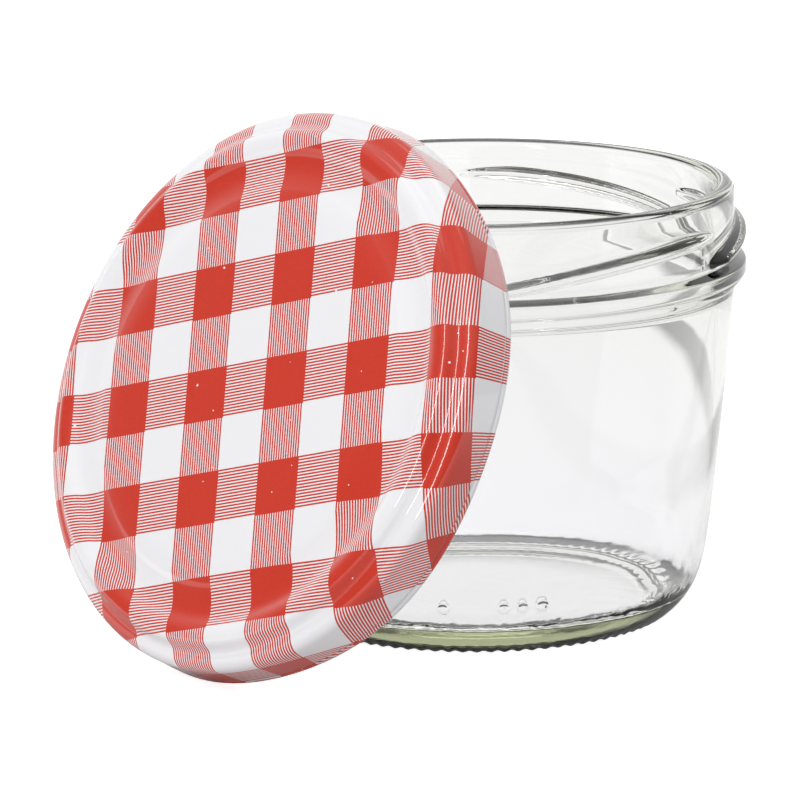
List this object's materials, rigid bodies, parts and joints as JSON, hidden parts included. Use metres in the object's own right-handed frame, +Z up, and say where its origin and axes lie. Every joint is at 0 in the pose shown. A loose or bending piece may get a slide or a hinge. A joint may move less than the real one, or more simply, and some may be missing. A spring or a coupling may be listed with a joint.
{
  "type": "canning jar",
  "caption": "Empty tapered clear glass canning jar with a rounded lip, screw lugs and a bead, and its red and white gingham metal lid leaning on the rim.",
  "frame": {"origin": "on the floor, under the middle of the box that holds the jar and the leaning lid", "axes": "+Z up along the jar's axis; the lid leans on the jar's -Y side, its printed face towards -Y and up"},
  "size_m": [0.0878, 0.1078, 0.0805],
  "materials": {
    "glass": "clear polished flint glass",
    "printed_lid": "tinplate with a glossy printed red and white gingham, off-white lacquer inside",
    "sealing_compound": "soft satin sealing compound"
  },
  "bodies": {
    "root": {"jar": "glass", "lid": "printed_lid", "sealing_ring": "sealing_compound"}
  },
  "joints": []
}
